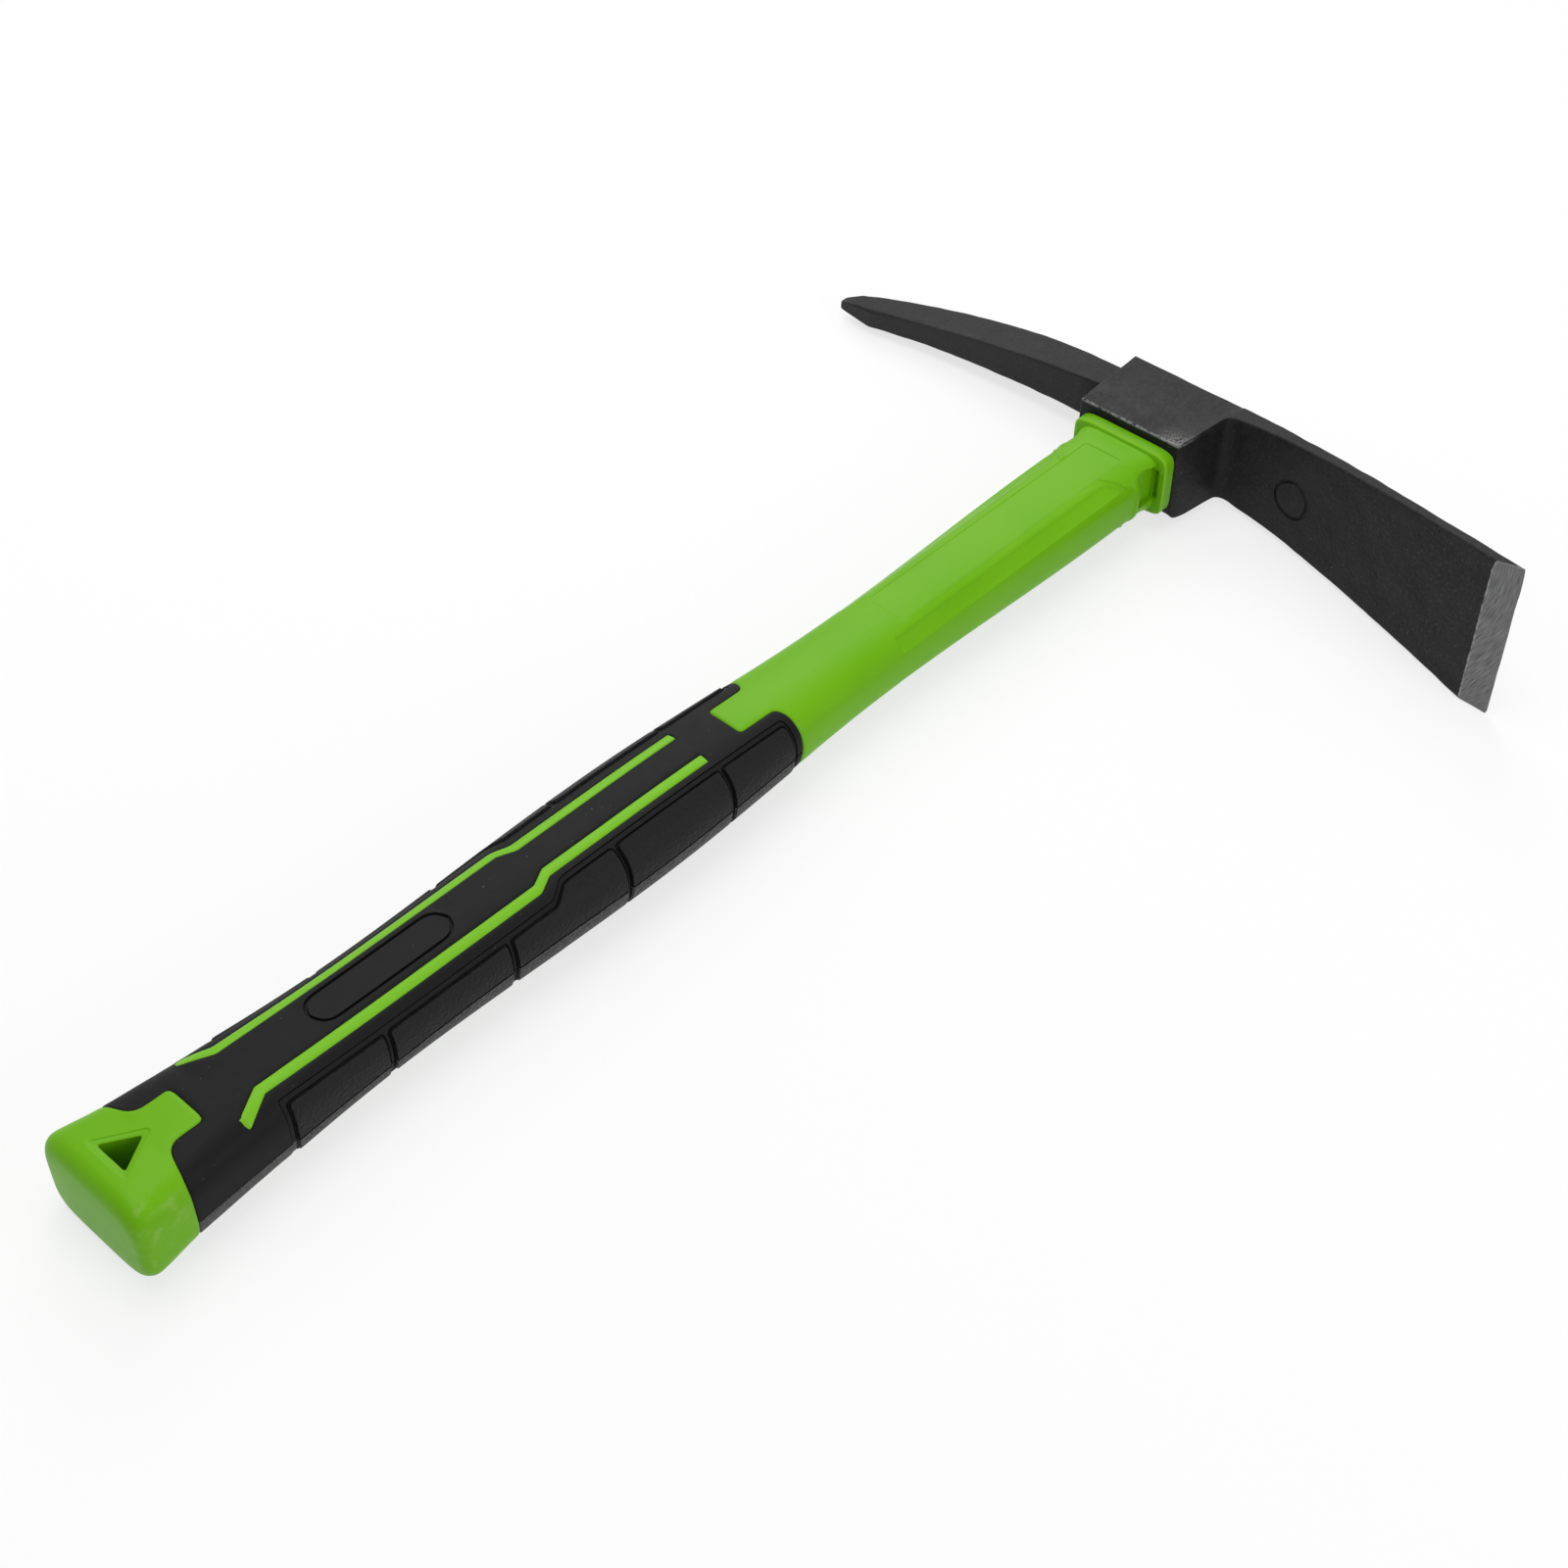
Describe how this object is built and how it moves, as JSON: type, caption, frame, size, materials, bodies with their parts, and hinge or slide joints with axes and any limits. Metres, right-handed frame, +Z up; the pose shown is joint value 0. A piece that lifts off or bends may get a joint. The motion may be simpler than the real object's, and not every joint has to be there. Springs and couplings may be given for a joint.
{
  "type": "hand mattock",
  "caption": "Short one-hand mattock: forged black head with a flared adze blade and a curved pick, bonded to a bright green and black moulded handle with a soft grip and a hang hole.",
  "frame": {"origin": "centre of the bounding box in plan, on the plane through the lowest corner of the adze blade", "axes": "+X along the handle from butt to head, +Y towards the pick, +Z up with the tool lying on its side"},
  "size_m": [0.403, 0.245, 0.0522],
  "materials": {
    "black_painted_steel": "satin black paint over a forging, bare ground steel at the cutting edge",
    "fibreglass": "pultruded fibreglass rod",
    "bonding_resin": "cast epoxy, slightly glossy",
    "green_plastic": "satin moulded polypropylene",
    "soft_black": "satin top, leather-like grain on the side pads"
  },
  "bodies": {
    "root": {"head": "black_painted_steel", "core_rod": "fibreglass", "eye_resin": "bonding_resin", "handle_sleeve": "green_plastic", "grip": "soft_black"}
  },
  "joints": []
}
